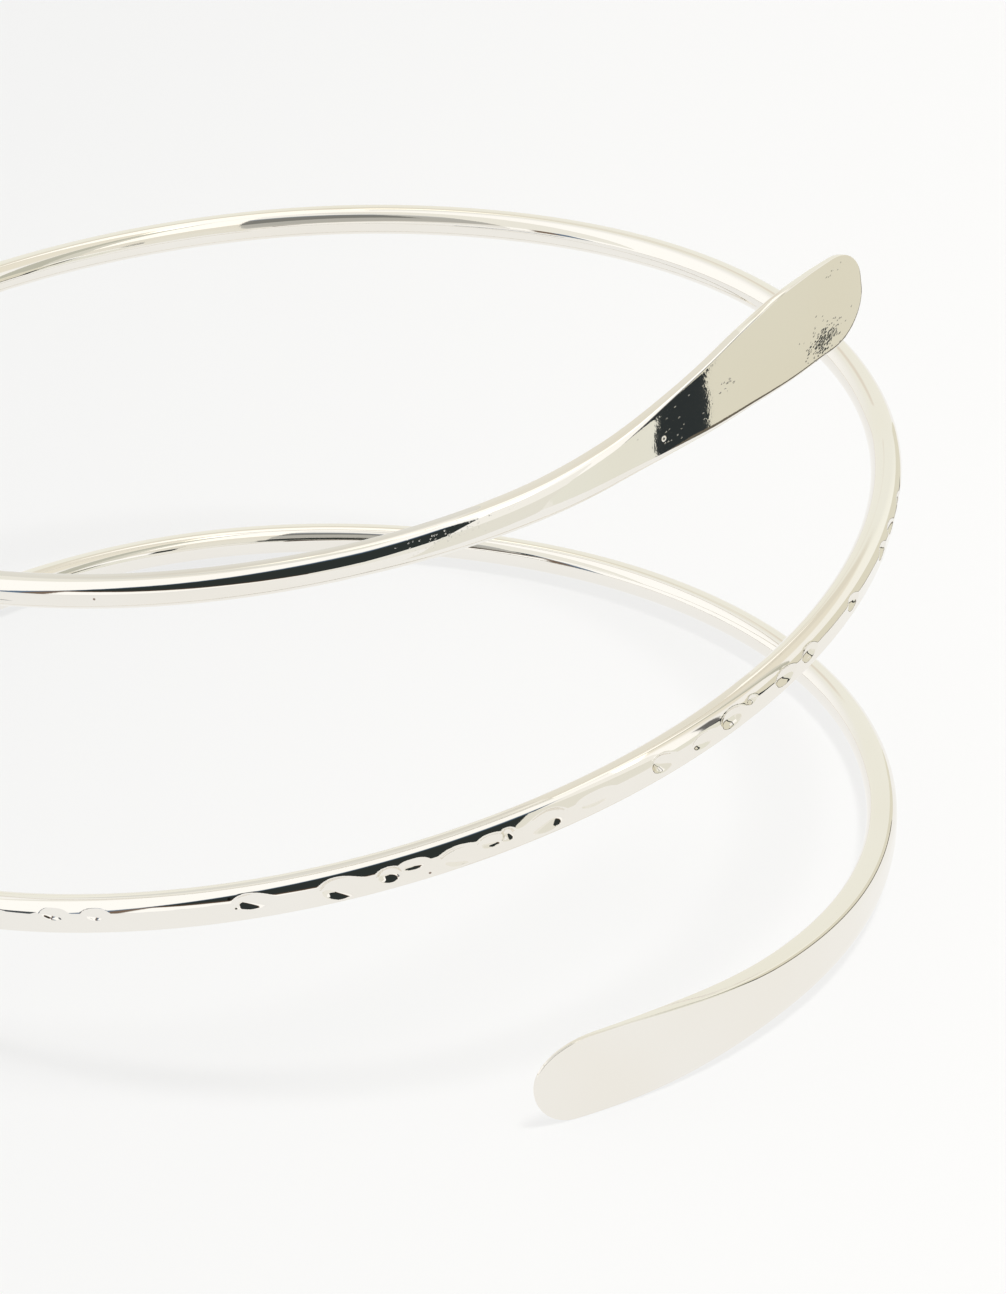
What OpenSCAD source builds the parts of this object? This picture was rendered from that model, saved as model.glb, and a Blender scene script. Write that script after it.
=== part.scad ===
// Upper arm cuff: one length of round wire, wound into an open coil of a little
// more than two turns. Both ends are beaten out into flat paddles, and a stretch
// of the middle turn is hammered flat on its outer side and dimpled.
// It stands on a table as it does by itself: on its lowest turn and the low tip.
// The origin is on the table, under the middle of the coil. The front is -Y.

/* [Coil] */
// Radius of the coil, to the middle of its wire
coil_r = 44; // [34:0.5:60]
// How far the turns swell out from that radius or pull in from it
coil_swell = 4; // [0:0.25:8]
// Height of the coil, from the middle of its lowest turn to the middle of the top tip
coil_rise = 50; // [36:0.5:80]
// How far the wire is wound, from the top tip to the low tip, in degrees
coil_turn = 776.5; // [740:0.5:800]
// Direction of the top tip, clockwise from the right-hand side, in degrees
coil_start = 11; // [0:1:90]
// Lean of the standing coil to its left, in degrees
coil_lean = 5.75; // [0:0.25:8]

/* [Wire] */
// Diameter of the plain wire
wire_d = 2.5; // [1.5:0.05:4]

/* [Hammered stretch] */
// Where the hammered stretch starts, in degrees of turn from the top tip
hammer_from = 337; // [250:1:400]
// How far the hammered stretch runs on from there, in degrees
hammer_turn = 200; // [60:1:230]
// Height of the wire where it is hammered
hammer_h = 3; // [2:0.05:5]
// Thickness of the wire where it is hammered
hammer_t = 2.3; // [1.2:0.05:4]
// How far the hammered face looks down, in degrees
hammer_tilt = 14; // [0:1:30]
// Length of a usual dimple, along the wire
dimple_l = 3; // [1:0.1:6]
// Width of a usual dimple, across the wire
dimple_w = 2; // [0.5:0.1:4]
// Depth of a usual dimple
dimple_d = 0.3; // [0.05:0.05:0.6]

/* [Paddles] */
// Length of the top paddle, from its tip to the plain wire
top_l = 50; // [30:1:80]
// Width of the top paddle
top_w = 7.4; // [4:0.1:12]
// Length over which the tip of the top paddle is rounded off
top_round = 4; // [1:0.1:6]
// Length of the low paddle, from its tip to the plain wire
low_l = 55; // [30:1:80]
// Width of the low paddle
low_w = 6.6; // [4:0.1:12]
// Length over which the upper corner of the low tip is rounded off
low_round = 4.5; // [1:0.1:6]
// Length over which its lower corner is rounded off
low_corner = 1.2; // [0.5:0.1:4]
// Thickness of both paddles
paddle_t = 1.1; // [0.6:0.05:2.4]

/* [Hidden] */

// Course of the wire, from the top tip (0) to the low tip (1)
// [share of coil_turn, share of coil_swell that it stands out, share of coil_rise]
COIL = [
    [0.00,  0.45, 1.000],
    [0.03, -0.60, 0.955],
    [0.06, -0.75, 0.905],
    [0.10, -0.30, 0.880],
    [0.16, -0.05, 0.835],
    [0.22, -0.05, 0.760],
    [0.28, -0.05, 0.715],
    [0.34,  0.10, 0.680],
    [0.40,  0.25, 0.640],
    [0.46,  0.35, 0.565],
    [0.52,  0.20, 0.460],
    [0.58,  0.05, 0.350],
    [0.64,  0.05, 0.245],
    [0.70,  0.15, 0.175],
    [0.76,  0.00, 0.120],
    [0.82, -0.30, 0.055],
    [0.88, -0.30, 0.005],
    [0.92, -0.10, 0.000],
    [0.96,  0.70, 0.030],
    [1.00,  1.75, 0.070]];

// Outlines of the paddles, from the tip (0) to the plain wire (1)
// [share of the paddle's length, share of what the top one is wider than the wire,
//  the same for the low one]
PADDLE = [
    [0.00, 0.94, 1.02],
    [0.08, 1.00, 1.02],
    [0.13, 1.00, 1.00],
    [0.20, 0.97, 0.88],
    [0.28, 0.80, 0.68],
    [0.37, 0.60, 0.49],
    [0.46, 0.38, 0.38],
    [0.54, 0.21, 0.30],
    [0.62, 0.12, 0.23],
    [0.72, 0.06, 0.16],
    [0.85, 0.03, 0.07],
    [1.00, 0.00, 0.00]];

// Dimples of the hammered face
// [share of hammer_turn, share of half hammer_h above its middle,
//  share of dimple_l, share of dimple_w, share of dimple_d]
DIMPLES = [
    [0.08, 0.15, 0.7, 0.6, 0.6],
    [0.11, 0.40, 0.8, 0.7, 0.7],
    [0.13, 0.15, 0.7, 0.6, 0.6],
    [0.17, 0.10, 0.6, 0.6, 0.6],
    [0.21, 0.15, 0.7, 0.7, 0.8],
    [0.23, 0.10, 0.8, 0.7, 0.8],
    [0.27, 0.30, 0.8, 0.8, 1.0],
    [0.28, 0.05, 0.5, 0.5, 0.6],
    [0.31, 0.25, 0.8, 0.8, 0.9],
    [0.34, 0.30, 1.2, 0.9, 0.5],
    [0.37, 0.25, 1.2, 1.0, 1.0],
    [0.395, 0.35, 0.9, 0.8, 1.0],
    [0.41, 0.05, 1.0, 0.8, 0.9],
    [0.45, 0.20, 0.7, 0.7, 0.9],
    [0.465, 0.20, 1.3, 1.1, 1.0],
    [0.51, 0.35, 1.1, 0.8, 0.8],
    [0.585, 0.45, 0.8, 0.8, 0.7],
    [0.61, 0.50, 0.9, 0.9, 0.8]];
// The dimples past the charted ones: how many, where the last one is as a share of
// hammer_turn, and the angle whose multiples vary them
MORE_DIMPLES = 9;
MORE_END = 0.96;
MORE_ANGLE = 137;

// Steps of the mesh, in millimetres along the wire
STEP_PLAIN = 5;
STEP_HAMMER = 1.1;
STEP_PADDLE = 2;
TIP_RINGS = 5;
SIDES = 18;
// Squareness of the rounded tips and of the paddles' edges: 2 is an ellipse
TIP_SQUARE = 2.25;
EDGE_SQUARE = 3;
TIP_START = 0.02;
NUDGE = 0.25;

wire_r = wire_d / 2;
// Length of wire in a degree of turn
coil_curl = norm([coil_r * PI / 180, coil_rise / coil_turn]);
hammer_ends = [hammer_from, hammer_from + hammer_turn];
more_from = DIMPLES[len(DIMPLES) - 1][0];
more_step = (MORE_END - more_from) / MORE_DIMPLES;

// A smooth curve through a table's rows: its value at x in one of its columns
function row_at(t, x, i = 0) = i < len(t) - 2 && x >= t[i + 1][0] ? row_at(t, x, i + 1) : i;
function slope(t, i, c) =
    let (a = max(0, i - 1), b = min(len(t) - 1, i + 1))
    (t[b][c] - t[a][c]) / (t[b][0] - t[a][0]);
function smooth(t, x, c) =
    let (i = row_at(t, x), w = t[i + 1][0] - t[i][0], s = (x - t[i][0]) / w)
    t[i][c] * (1 + 2 * s) * pow(1 - s, 2)
    + t[i + 1][c] * s * s * (3 - 2 * s)
    + w * s * (1 - s) * (slope(t, i, c) * (1 - s) - slope(t, i + 1, c) * s);
function ease(x) = let (s = min(1, max(0, x))) s * s * (3 - 2 * s);

// Middle of the wire at a degree of its turn
function upright(turn) =
    let (
        a = -coil_start - turn,
        share = turn / coil_turn,
        r = coil_r + coil_swell * smooth(COIL, share, 1))
    [r * cos(a), r * sin(a), coil_rise * smooth(COIL, share, 2)];
function leaned(p) = [
    p.x * cos(coil_lean) - p.z * sin(coil_lean),
    p.y,
    p.x * sin(coil_lean) + p.z * cos(coil_lean)];
function middle(turn) = leaned(upright(turn));
function unit(v) = v / norm(v);

// Where each ring of the mesh stands, in degrees of turn
function ladder(from, to, step) =
    let (n = max(1, ceil((to - from) * coil_curl / step)))
    [for (k = [0:n - 1]) from + (to - from) * k / n];
top_end = top_l / coil_curl;
low_end = coil_turn - low_l / coil_curl;
top_tip = top_round / coil_curl;
low_tip = coil_turn - low_round / coil_curl;
TURNS = concat(
    [for (k = [0:TIP_RINGS - 1]) top_tip * pow(k / TIP_RINGS, 2)],
    ladder(top_tip, top_end, STEP_PADDLE),
    ladder(top_end, hammer_ends[0], STEP_PLAIN),
    ladder(hammer_ends[0], hammer_ends[1], STEP_HAMMER),
    ladder(hammer_ends[1], low_end, STEP_PLAIN),
    ladder(low_end, low_tip, STEP_PADDLE),
    [for (k = [TIP_RINGS:-1:0]) coil_turn - (coil_turn - low_tip) * pow(k / TIP_RINGS, 2)]);

// How much a tip is rounded off at a distance from its end
function tip_share(d, l) =
    let (s = min(1, max(TIP_START, d / l)))
    pow(1 - pow(1 - s, TIP_SQUARE), 1 / TIP_SQUARE);

// The wire's section at a degree of turn:
// [share of a paddle, height, thickness, upper tip share, lower tip share, hammered share]
function section(turn) =
    let (
        d_top = turn * coil_curl,
        d_low = (coil_turn - turn) * coil_curl,
        top = d_top < top_l ? smooth(PADDLE, d_top / top_l, 1) : 0,
        low = d_low < low_l ? smooth(PADDLE, d_low / low_l, 2) : 0,
        flat = max(top, low),
        ham = ease((turn - hammer_ends[0]) * coil_curl / dimple_l / 2)
            * ease((hammer_ends[1] - turn) * coil_curl / dimple_l / 2),
        h = wire_d + (top_w - wire_d) * top + (low_w - wire_d) * low
            + (hammer_h - wire_d) * ham,
        t = paddle_t + (wire_d - paddle_t) * pow(1 - flat, 4),
        over = tip_share(d_top, top_round) * tip_share(d_low, low_round),
        under = tip_share(d_top, top_round) * tip_share(d_low, low_corner))
    [flat, h, t, over, under, ham];

// All the dimples: the charted ones, and the rest of the stretch by a rule
ALL_DIMPLES = concat(DIMPLES, [for (k = [1:MORE_DIMPLES])
    let (v = sin(k * MORE_ANGLE))
    [more_from + k * more_step, 0.25 + 0.2 * v, 0.9 + 0.2 * v, 0.8, 0.8 - 0.2 * v]]);
// How deep the dimples cut at a degree of turn and a height above the wire's middle
function dimple(turn, y) = max([for (d = ALL_DIMPLES)
    let (
        s = (turn - hammer_ends[0] - d[0] * hammer_turn) * coil_curl / (dimple_l * d[2] / 2),
        w = (y - d[1] * hammer_h / 2) / (dimple_w * d[3] / 2))
    dimple_d * d[4] * max(0, 1 - s * s - w * w)]);

// One point of a section, as [out from the coil, up along the coil]. On the hammered
// stretch, what stands out past the flat face is beaten back to it
function rim(turn, s, k) =
    let (
        flat = s[0], h = s[1], t = s[2], over = s[3], under = s[4], ham = s[5],
        a = 360 * k / SIDES,
        q = 2 / (2 + (EDGE_SQUARE - 2) * flat),
        x = t / 2 * sign(cos(a)) * pow(abs(cos(a)), q) * sqrt(min(over, under)),
        y = h / 2 * sign(sin(a)) * pow(abs(sin(a)), q) * (a < 180 ? over : under),
        face = hammer_t - wire_r - (ham > 0 ? dimple(turn, y) : 0),
        proud = x * cos(hammer_tilt) - y * sin(hammer_tilt) - face,
        beaten = ham * max(0, proud))
    [x - beaten * cos(hammer_tilt), y + beaten * sin(hammer_tilt)];
function ring(turn) =
    let (
        p = middle(turn),
        along = unit(middle(turn + NUDGE) - middle(turn - NUDGE)),
        a = -coil_start - turn,
        side = leaned([cos(a), sin(a), 0]),
        out = unit(side - (side * along) * along),
        up = cross(along, out) * sign(cross(along, out).z),
        s = section(turn))
    [for (k = [0:SIDES - 1]) let (q = rim(turn, s, k)) p + q.x * out + q.y * up];

RINGS = [for (t = TURNS) ring(t)];
POINTS = [for (r = RINGS) each r];
function least(c) = min([for (p = POINTS) p[c]]);
function most(c) = max([for (p = POINTS) p[c]]);
SEAT = [(least(0) + most(0)) / 2, (least(1) + most(1)) / 2, least(2)];

module arm_coil() {
    n = len(RINGS);
    sides = [for (i = [0:n - 2], k = [0:SIDES - 1])
        let (l = (k + 1) % SIDES)
        each [
            [i * SIDES + k, (i + 1) * SIDES + l, i * SIDES + l],
            [i * SIDES + k, (i + 1) * SIDES + k, (i + 1) * SIDES + l]]];
    ends = [[for (k = [0:SIDES - 1]) k], [for (k = [SIDES - 1:-1:0]) (n - 1) * SIDES + k]];
    color("silver") translate(-SEAT)
        polyhedron(points = POINTS, faces = concat(sides, ends), convexity = 10);
}

arm_coil();
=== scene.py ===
"""Looks of the upper arm cuff: polished, silver-plated wire wound into an open coil,
with a paddle beaten out at each end and a hammered, dimpled stretch on its middle turn.
It stands on a pale floor in soft studio light."""

import math

import bpy
from mathutils import Matrix, Vector


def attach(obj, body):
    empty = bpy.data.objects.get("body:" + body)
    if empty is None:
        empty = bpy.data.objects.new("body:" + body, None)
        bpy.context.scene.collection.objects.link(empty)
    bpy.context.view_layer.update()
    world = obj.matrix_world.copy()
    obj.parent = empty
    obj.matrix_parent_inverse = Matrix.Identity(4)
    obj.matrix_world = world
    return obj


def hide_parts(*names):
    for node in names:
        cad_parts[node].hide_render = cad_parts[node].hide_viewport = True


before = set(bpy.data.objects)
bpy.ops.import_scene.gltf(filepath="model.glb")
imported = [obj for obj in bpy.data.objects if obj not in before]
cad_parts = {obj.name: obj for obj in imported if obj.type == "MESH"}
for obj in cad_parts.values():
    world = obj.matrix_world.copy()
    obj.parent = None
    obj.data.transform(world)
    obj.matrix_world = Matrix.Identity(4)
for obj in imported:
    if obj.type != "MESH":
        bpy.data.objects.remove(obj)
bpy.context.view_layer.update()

MM = 0.001

# The coil, with the sizes of the CAD part
COIL_R = 44 * MM
COIL_SWELL = 4 * MM
COIL_RISE = 50 * MM
COIL_TURN = 776.5
COIL_START = 11
COIL_LEAN = math.radians(5.75)
WIRE_D = 2.5 * MM
TOP_L = 50 * MM
TOP_W = 7.4 * MM
TOP_ROUND = 5.0 * MM
TOP_CORNER = 3.9 * MM
LOW_L = 55 * MM
LOW_W = 6.6 * MM
LOW_ROUND = 4.5 * MM
LOW_CORNER = 3 * MM
PADDLE_T = 0.85 * MM
TIP_T = 0.42 * MM
TIP_THINS = 16 * MM
# How fast each paddle thins as it widens
TOP_THINNING = 4
LOW_THINNING = 0.8
HAMMER_FROM = 337
HAMMER_TURN = 200
HAMMER_H = 3 * MM
HAMMER_T = 2.3 * MM
HAMMER_TILT = math.radians(14)
HAMMER_FADE = 6 * MM

# Course of the wire: share of COIL_TURN, share of COIL_SWELL, share of COIL_RISE
COIL = (
    (0.00, 0.45, 1.000), (0.03, -0.60, 0.955), (0.06, -0.75, 0.905), (0.10, -0.30, 0.880),
    (0.16, -0.05, 0.835), (0.22, -0.05, 0.760), (0.28, -0.05, 0.715), (0.34, 0.10, 0.680),
    (0.40, 0.25, 0.640), (0.46, 0.35, 0.565), (0.52, 0.20, 0.460), (0.58, 0.05, 0.350),
    (0.64, 0.05, 0.245), (0.70, 0.15, 0.175), (0.76, 0.00, 0.120), (0.82, -0.30, 0.055),
    (0.88, -0.30, 0.005), (0.92, -0.10, 0.000), (0.96, 0.70, 0.030), (1.00, 1.75, 0.070),
)

# Outlines of the paddles: share of the length, share of the width that the top one has
# over the wire's, the same for the low one, and how far the top one's middle stands above
# the wire's line as a share of its width
PADDLE = (
    (0.00, 0.94, 1.02, 0.010), (0.08, 1.00, 1.02, 0.070), (0.13, 1.00, 1.00, 0.108),
    (0.20, 0.97, 0.88, 0.115), (0.28, 0.80, 0.68, 0.085), (0.37, 0.57, 0.49, 0.030),
    (0.46, 0.35, 0.38, 0.012), (0.54, 0.19, 0.30, 0.004), (0.62, 0.12, 0.23, 0.000),
    (0.72, 0.06, 0.16, 0.000), (0.85, 0.03, 0.07, 0.000), (1.00, 0.00, 0.00, 0.000),
)

# Dimples: degree of turn, height above the wire's middle, length, width and depth in mm,
# and how much deeper the end with more turn is
DIMPLES = (
    (353.2, 0.2, 1.9, 1.2, 0.24, 0.0), (358.0, 0.6, 2.1, 1.3, 0.24, 0.4),
    (361.8, 0.2, 1.9, 1.4, 0.28, -0.4), (370.1, 0.2, 1.8, 1.4, 0.30, 0.5),
    (378.7, 0.3, 1.9, 1.5, 0.32, 0.0), (382.5, 0.2, 2.4, 1.5, 0.30, 0.3),
    (387.4, 0.7, 1.1, 0.9, 0.20, 0.0), (390.0, 0.3, 2.4, 1.7, 0.36, 0.0),
    (393.6, 0.0, 2.4, 1.4, 0.17, 0.4), (398.3, 0.2, 2.2, 1.6, 0.36, 0.7),
    (405.8, 0.4, 3.3, 1.7, 0.17, 0.0), (411.0, 0.2, 3.4, 2.0, 0.34, -0.8),
    (414.6, 0.3, 1.1, 1.1, 0.36, 0.0), (416.2, 0.4, 2.2, 1.4, 0.22, 0.0),
    (419.2, 0.0, 3.1, 1.9, 0.24, 0.2), (423.6, 0.6, 2.4, 1.2, 0.20, 0.0),
    (425.9, 0.1, 1.9, 1.3, 0.40, 0.0), (430.3, 0.1, 3.4, 2.1, 0.34, 0.8),
    (438.5, 0.5, 3.2, 1.6, 0.30, 0.7), (440.3, 0.1, 0.7, 0.6, 0.14, 0.0),
    (454.2, 0.7, 2.3, 1.5, 0.24, 0.0), (458.6, 0.8, 2.6, 1.6, 0.26, 0.3),
)
# How steep a dimple's wall is: 1 is a bowl, and more is a flatter floor with steeper walls.
# Then how much wider and deeper than charted the dimples are
DIMPLE_WALL = 1.5
DIMPLE_SPREAD = 1.15
DIMPLE_DEEPEN = 1.35
# The rest of the dimples, round the hidden left side: how many, the last one's turn, the
# angle whose multiples vary them, and a middling one with how far that goes either way:
# height above the wire's middle, length, width and depth in mm, and slant
MORE_DIMPLES = 9
MORE_END = 529
MORE_ANGLE = math.radians(137)
MORE_MIDDLING = (0.4, 2.7, 1.6, 0.26, 0.0)
MORE_EITHER_WAY = (0.3, 0.6, 0.0, -0.05, 0.6)

# How far the hammered face wavers, and how often
WAVER = 0.05 * MM
WAVER_SCALE = 260
# Mesh of the wire: steps between its rings, where the rings stand closest for the charted
# dimples, rings in a rounded tip, and sides, which crowd towards the outer side of the wire
STEP_PLAIN = 1.2 * MM
STEP_HAMMER = 0.32 * MM
STEP_DIMPLES = 0.14 * MM
DIMPLES_TO = 462
CROWD = 0.4
STEP_PADDLE = 0.45 * MM
TIP_RINGS = 14
SIDES = 64
# A tip is a curve of this power, 2 for an ellipse, that starts a little off its end
TIP_SQUARE = 2.05
TIP_START = 0.0015
# Power of the section's rim on the paddles, where the wire has 2
EDGE_SQUARE = 12
# Share of paddle or of hammering from which the metal has that finish
FINISH_FROM = 0.02
# Degrees of turn to either side, for the wire's direction
NUDGE = 0.25

# The camera, where the photograph was taken from
CAMERA_AT = (48.39 * MM, -386.11 * MM, 221.96 * MM)
CAMERA_YAW = math.radians(-5.014)
CAMERA_PITCH = math.radians(28.081)
CAMERA_ROLL = math.radians(0.609)
CAMERA_LENS = 153.229

# Length of the wire in a degree of its turn
CURL = math.hypot(COIL_R * math.pi / 180, COIL_RISE / COIL_TURN)


# Numbers and vectors in a node tree, written as in a formula

class Term:
    """A value in a node tree. Sums and products of it add the nodes that work them out."""

    def __init__(self, tree, socket):
        self.tree = tree
        self.socket = socket

    def __add__(self, other):
        return work(self.tree, "ADD", self, other)

    def __radd__(self, other):
        return work(self.tree, "ADD", other, self)

    def __sub__(self, other):
        return work(self.tree, "SUBTRACT", self, other)

    def __rsub__(self, other):
        return work(self.tree, "SUBTRACT", other, self)

    def __mul__(self, other):
        return work(self.tree, "MULTIPLY", self, other)

    def __rmul__(self, other):
        return work(self.tree, "MULTIPLY", other, self)

    def __truediv__(self, other):
        return work(self.tree, "DIVIDE", self, other)

    def __rtruediv__(self, other):
        return work(self.tree, "DIVIDE", other, self)

    def __pow__(self, other):
        return work(self.tree, "POWER", self, other)

    def __neg__(self):
        return work(self.tree, "MULTIPLY", self, -1)


def feed(tree, value, socket):
    """Links a term to a socket, or sets the socket to a plain value."""
    if isinstance(value, Term):
        tree.links.new(value.socket, socket)
    else:
        socket.default_value = value


def work(tree, operation, *values):
    """One Math node."""
    node = tree.nodes.new("ShaderNodeMath")
    node.operation = operation
    for socket, value in zip(node.inputs, values):
        feed(tree, value, socket)
    return Term(tree, node.outputs[0])


def work_vector(tree, operation, *values):
    """One Vector Math node. A vector is scaled by the number that comes after it."""
    node = tree.nodes.new("ShaderNodeVectorMath")
    node.operation = operation
    sockets = [node.inputs[0], node.inputs["Scale"]] if operation == "SCALE" else node.inputs
    for socket, value in zip(sockets, values):
        feed(tree, value, socket)
    whole = operation not in ("DOT_PRODUCT", "LENGTH", "DISTANCE")
    return Term(tree, node.outputs["Vector" if whole else "Value"])


def ease(tree, value, low, high):
    """0 below low, 1 above high, and a smooth step between them."""
    node = tree.nodes.new("ShaderNodeMapRange")
    node.interpolation_type = "SMOOTHSTEP"
    for name, number in (("Value", value), ("From Min", low), ("From Max", high)):
        feed(tree, number, node.inputs[name])
    return Term(tree, node.outputs["Result"])


def between(tree, value, rise, fall):
    """1 between two smooth edges and 0 outside them. Each is where it begins and ends."""
    return ease(tree, value, *rise) * (1 - ease(tree, value, *fall))


def least(tree, *values):
    result = values[0]
    for value in values[1:]:
        result = work(tree, "MINIMUM", result, value)
    return result


def most(tree, *values):
    result = values[0]
    for value in values[1:]:
        result = work(tree, "MAXIMUM", result, value)
    return result


def blend_colours(tree, share, first, second):
    """first where share is 0, second where it is 1."""
    node = tree.nodes.new("ShaderNodeMix")
    node.data_type = "RGBA"
    feed(tree, share, node.inputs["Factor"])
    colour_sockets = [s for s in node.inputs if s.type == "RGBA"]
    feed(tree, first, colour_sockets[0])
    feed(tree, second, colour_sockets[1])
    return Term(tree, [s for s in node.outputs if s.type == "RGBA"][0])


def add_node(tree, kind, values=None, **settings):
    """A node with its settings and its inputs' values."""
    node = tree.nodes.new(kind)
    for name, value in settings.items():
        setattr(node, name, value)
    for name, value in (values or {}).items():
        feed(tree, value, [s for s in node.inputs if s.name == name and s.enabled][0])
    return node


# Course of the wire

def smooth(table, x, column):
    """A smooth curve through a table's rows: its value at x in one of its columns."""
    def slope(i):
        a, b = table[max(0, i - 1)], table[min(len(table) - 1, i + 1)]
        return (b[column] - a[column]) / (b[0] - a[0])

    i = max(k for k in range(len(table) - 1) if k == 0 or table[k][0] <= x)
    width = table[i + 1][0] - table[i][0]
    s = (x - table[i][0]) / width
    return (
        table[i][column] * (1 + 2 * s) * (1 - s) ** 2
        + table[i + 1][column] * s * s * (3 - 2 * s)
        + width * s * (1 - s) * (slope(i) * (1 - s) - slope(i + 1) * s)
    )


LEAN = Matrix.Rotation(-COIL_LEAN, 3, "Y")


def middle(turn):
    """Middle of the wire at a degree of its turn, before the coil is set on the floor."""
    a = math.radians(-COIL_START - turn)
    share = turn / COIL_TURN
    r = COIL_R + COIL_SWELL * smooth(COIL, share, 1)
    return LEAN @ Vector((r * math.cos(a), r * math.sin(a), COIL_RISE * smooth(COIL, share, 2)))


def bearings(turn):
    """Outward and upward directions across the wire, and how far up slants round the coil."""
    along = (middle(turn + NUDGE) - middle(turn - NUDGE)).normalized()
    a = math.radians(-COIL_START - turn)
    side = LEAN @ Vector((math.cos(a), math.sin(a), 0))
    round_coil = LEAN @ Vector((-math.sin(a), math.cos(a), 0))
    out = (side - side.dot(along) * along).normalized()
    up = along.cross(out)
    if up.z < 0:
        up = -up
    return out, up, up.dot(round_coil)


def ladder(start, end, step):
    """Evenly spaced turns from start to just before end, a step of wire apart or less."""
    count = max(1, math.ceil((end - start) * CURL / step))
    return [start + (end - start) * k / count for k in range(count)]


def ring_turns():
    """Where each ring of the mesh stands, in degrees of turn."""
    top_tip, top_end = TOP_ROUND / CURL, TOP_L / CURL
    low_tip, low_end = COIL_TURN - LOW_ROUND / CURL, COIL_TURN - LOW_L / CURL
    hammer_to = HAMMER_FROM + HAMMER_TURN
    return (
        [top_tip * (k / TIP_RINGS) ** 2 for k in range(TIP_RINGS)]
        + ladder(top_tip, top_end, STEP_PADDLE)
        + ladder(top_end, HAMMER_FROM, STEP_PLAIN)
        + ladder(HAMMER_FROM, DIMPLES_TO, STEP_DIMPLES)
        + ladder(DIMPLES_TO, hammer_to, STEP_HAMMER)
        + ladder(hammer_to, low_end, STEP_PLAIN)
        + ladder(low_end, low_tip, STEP_PADDLE)
        + [COIL_TURN - (COIL_TURN - low_tip) * (k / TIP_RINGS) ** 2
           for k in range(TIP_RINGS, -1, -1)]
    )


def course_mesh():
    """The wire's middle line, with what each of its points needs for its section."""
    turns = ring_turns()
    mesh = bpy.data.meshes.new("course")
    mesh.from_pydata([middle(t) for t in turns], [(i, i + 1) for i in range(len(turns) - 1)], [])
    top_end, low_end = TOP_L / CURL, COIL_TURN - LOW_L / CURL
    rows = [bearings(t) for t in turns]
    columns = {
        "turn": turns,
        "slant": [row[2] for row in rows],
        "top_share": [smooth(PADDLE, t / top_end, 1) if t < top_end else 0 for t in turns],
        "low_share": [
            smooth(PADDLE, (COIL_TURN - t) * CURL / LOW_L, 2) if t > low_end else 0
            for t in turns
        ],
        "lift": [TOP_W * smooth(PADDLE, t / top_end, 3) if t < top_end else 0 for t in turns],
    }
    for name, values in columns.items():
        mesh.attributes.new(name, "FLOAT", "POINT").data.foreach_set("value", values)
    for name, place in (("out", 0), ("up", 1)):
        flat = [number for row in rows for number in row[place]]
        mesh.attributes.new(name, "FLOAT_VECTOR", "POINT").data.foreach_set("vector", flat)
    return mesh


# Section of the wire, as Geometry Nodes

def named_value(tree, name, kind="FLOAT"):
    node = add_node(tree, "GeometryNodeInputNamedAttribute", {"Name": name}, data_type=kind)
    return Term(tree, [s for s in node.outputs if s.enabled][0])


def store(tree, geometry, name, value, kind="FLOAT"):
    """Keeps a value on the points of a geometry, under a name."""
    values = {"Geometry": geometry, "Name": name, "Value": value}
    node = add_node(tree, "GeometryNodeStoreNamedAttribute", values, data_type=kind)
    return Term(tree, node.outputs["Geometry"])


def dimple_tree():
    """One dimple: the deeper of its own hollow and the one that comes in."""
    tree = bpy.data.node_groups.new("dimple", "GeometryNodeTree")
    new = tree.interface.new_socket
    inputs = ("Turn", "Height", "Depth Before", "At Turn", "At Height", "Length", "Width", "Depth",
              "Slant")
    for name in inputs:
        new(name, in_out="INPUT", socket_type="NodeSocketFloat")
    new("Depth", in_out="OUTPUT", socket_type="NodeSocketFloat")
    given = add_node(tree, "NodeGroupInput").outputs
    turn, height, before, at_turn, at_height, length, width, depth, slant = (
        Term(tree, socket) for socket in list(given)[:len(inputs)])
    s = (turn - at_turn) * (CURL * 2) / length
    w = (height - at_height) * 2 / width
    hollow = depth * (1 + slant * s) * most(tree, 1 - (s * s + w * w) ** DIMPLE_WALL, 0)
    out = add_node(tree, "NodeGroupOutput")
    feed(tree, most(tree, before, hollow), out.inputs[0])
    return tree


def all_dimples():
    """The charted dimples, and the rest of the stretch by a rule."""
    last = DIMPLES[-1][0]
    for row in DIMPLES:
        turn, height, length, width, depth, slant = row
        yield (turn, height * MM, length * MM, width * DIMPLE_SPREAD * MM,
               depth * DIMPLE_DEEPEN * MM, slant)
    for k in range(1, MORE_DIMPLES + 1):
        v = math.sin(k * MORE_ANGLE)
        turn = last + k * (MORE_END - last) / MORE_DIMPLES
        height, length, width, depth, slant = (
            middling + change * v for middling, change in zip(MORE_MIDDLING, MORE_EITHER_WAY))
        yield turn, height * MM, length * MM, width * MM, depth * MM, slant


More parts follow.
